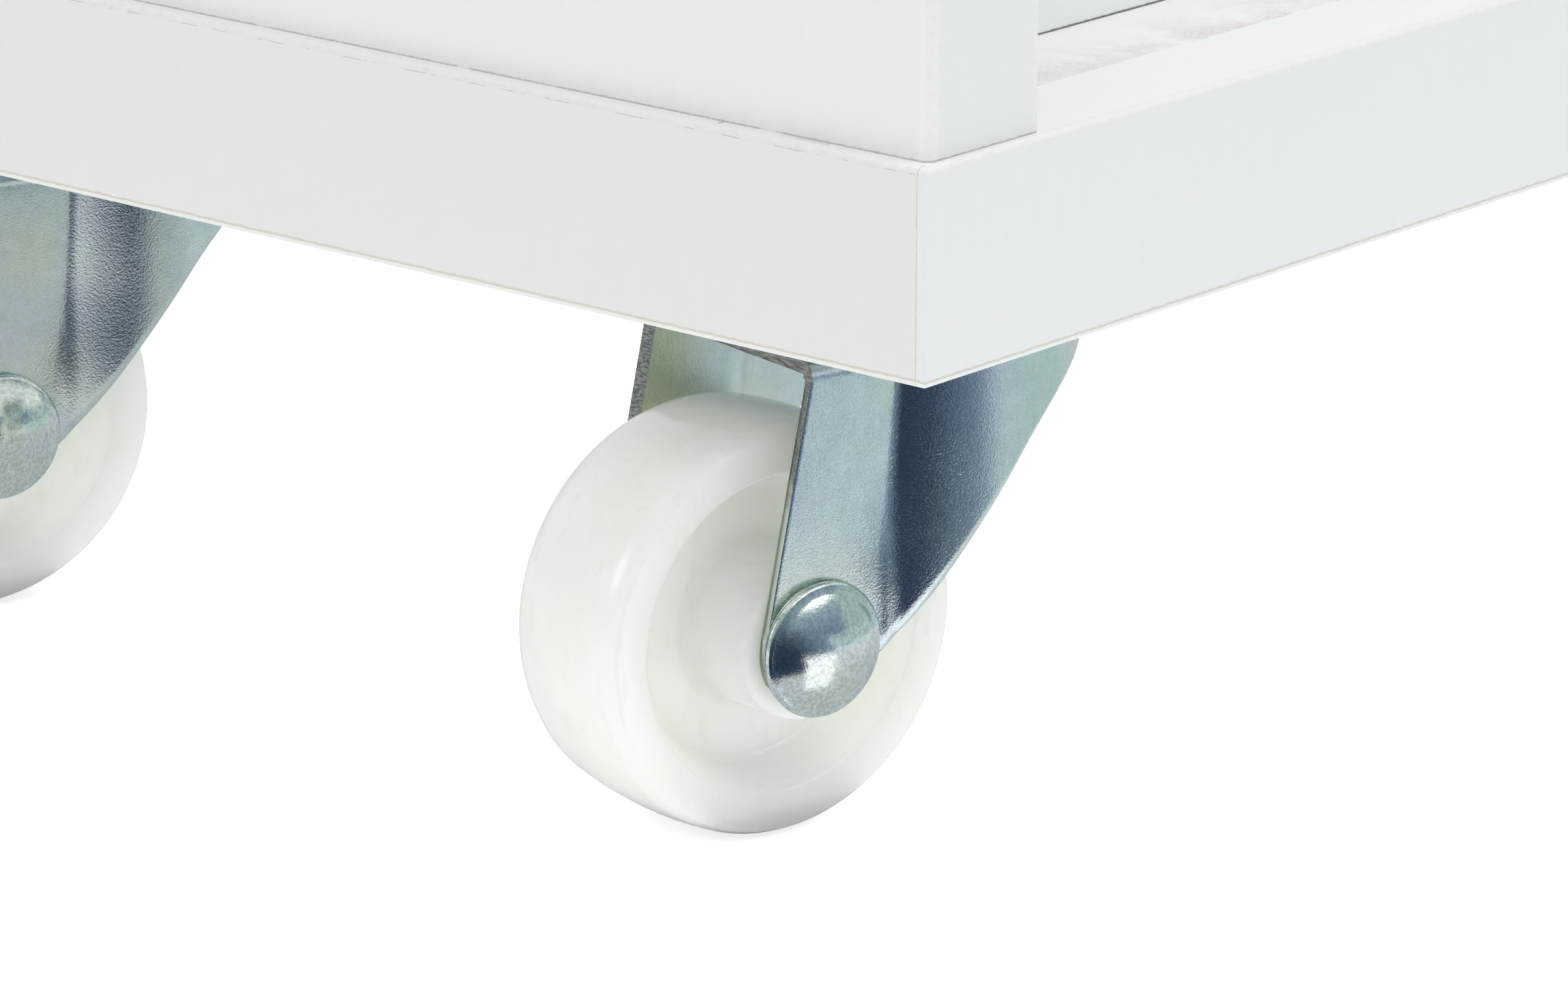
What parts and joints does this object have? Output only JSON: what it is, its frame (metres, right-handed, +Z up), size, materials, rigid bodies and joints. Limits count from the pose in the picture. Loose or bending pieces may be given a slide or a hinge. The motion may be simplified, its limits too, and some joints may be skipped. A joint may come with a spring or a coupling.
{
  "type": "slim rolling cart",
  "caption": "Narrow white laminate cart on swivel casters with dished plastic wheels, one closed side, one open side of shelves behind guard rods, and a pull handle.",
  "frame": {"origin": "on the floor, under the middle of the boards", "axes": "+X to the closed side with the inset wall, -Y to the narrow front with the handle, +Z up"},
  "size_m": [0.24, 0.4779, 0.8],
  "materials": {
    "white_laminate": "satin",
    "white_edge_band": "satin",
    "rod_steel": "satin",
    "fastener_steel": "satin",
    "handle_steel": "satin",
    "zinc_plated_steel": "gloss",
    "axle_zinc": "gloss",
    "white_nylon": "satin",
    "beech": "matte"
  },
  "bodies": {
    "cabinet": {"bottom_board": "white_laminate", "top_board": "white_laminate", "front_panel": "white_laminate", "rear_panel": "white_laminate", "side_wall": "white_laminate", "lower_shelf": "white_laminate", "upper_shelf": "white_laminate", "bottom_band_wall_side": "white_edge_band", "bottom_band_open_side": "white_edge_band", "bottom_band_front": "white_edge_band", "bottom_band_rear": "white_edge_band", "top_band_wall_side": "white_edge_band", "top_band_open_side": "white_edge_band", "top_band_front": "white_edge_band", "top_band_rear": "white_edge_band", "front_panel_band_wall_side": "white_edge_band", "front_panel_band_open_side": "white_edge_band", "rear_panel_band_wall_side": "white_edge_band", "rear_panel_band_open_side": "white_edge_band", "lower_shelf_band": "white_edge_band", "upper_shelf_band": "white_edge_band", "bottom_guard_rod": "rod_steel", "lower_guard_rod": "rod_steel", "upper_guard_rod": "rod_steel", "handle": "handle_steel", "handle_screws": "fastener_steel", "confirmat_screws": "fastener_steel", "shelf_pins": "fastener_steel", "caster_screws": "fastener_steel", "top_dowels": "beech", "caster_plates": "zinc_plated_steel", "race_rings": "zinc_plated_steel", "kingpins": "zinc_plated_steel"},
    "front_right_swivel": {"front_right_fork": "zinc_plated_steel", "front_right_axle": "axle_zinc"},
    "front_right_roller": {"front_right_wheel": "white_nylon"},
    "front_left_swivel": {"front_left_fork": "zinc_plated_steel", "front_left_axle": "axle_zinc"},
    "front_left_roller": {"front_left_wheel": "white_nylon"},
    "rear_right_swivel": {"rear_right_fork": "zinc_plated_steel", "rear_right_axle": "axle_zinc"},
    "rear_right_roller": {"rear_right_wheel": "white_nylon"},
    "rear_left_swivel": {"rear_left_fork": "zinc_plated_steel", "rear_left_axle": "axle_zinc"},
    "rear_left_roller": {"rear_left_wheel": "white_nylon"}
  },
  "joints": [
    {"name": "front_right_swivel_turn", "type": "hinge", "parent": "cabinet", "child": "front_right_swivel", "pos_m": [0.0654, -0.1619, 0.06], "axis": [0, 0, 1], "continuous": true},
    {"name": "front_right_wheel_spin", "type": "hinge", "parent": "front_right_swivel", "child": "front_right_roller", "pos_m": [0.05976, -0.18523, 0.025], "axis": [0.972, -0.2351, 0], "continuous": true},
    {"name": "front_left_swivel_turn", "type": "hinge", "parent": "cabinet", "child": "front_left_swivel", "pos_m": [-0.0654, -0.1619, 0.06], "axis": [0, 0, 1], "continuous": true},
    {"name": "front_left_wheel_spin", "type": "hinge", "parent": "front_left_swivel", "child": "front_left_roller", "pos_m": [-0.07361, -0.18445, 0.025], "axis": [0.9397, -0.342, 0], "continuous": true},
    {"name": "rear_right_swivel_turn", "type": "hinge", "parent": "cabinet", "child": "rear_right_swivel", "pos_m": [0.0654, 0.1619, 0.06], "axis": [0, 0, 1], "continuous": true},
    {"name": "rear_right_wheel_spin", "type": "hinge", "parent": "rear_right_swivel", "child": "rear_right_roller", "pos_m": [0.05602, 0.13981, 0.025], "axis": [0.9205, -0.3907, 0], "continuous": true},
    {"name": "rear_left_swivel_turn", "type": "hinge", "parent": "cabinet", "child": "rear_left_swivel", "pos_m": [-0.0654, 0.1619, 0.06], "axis": [0, 0, 1], "continuous": true},
    {"name": "rear_left_wheel_spin", "type": "hinge", "parent": "rear_left_swivel", "child": "rear_left_roller", "pos_m": [-0.06331, 0.13799, 0.025], "axis": [0.9962, 0.0872, 0], "continuous": true}
  ]
}
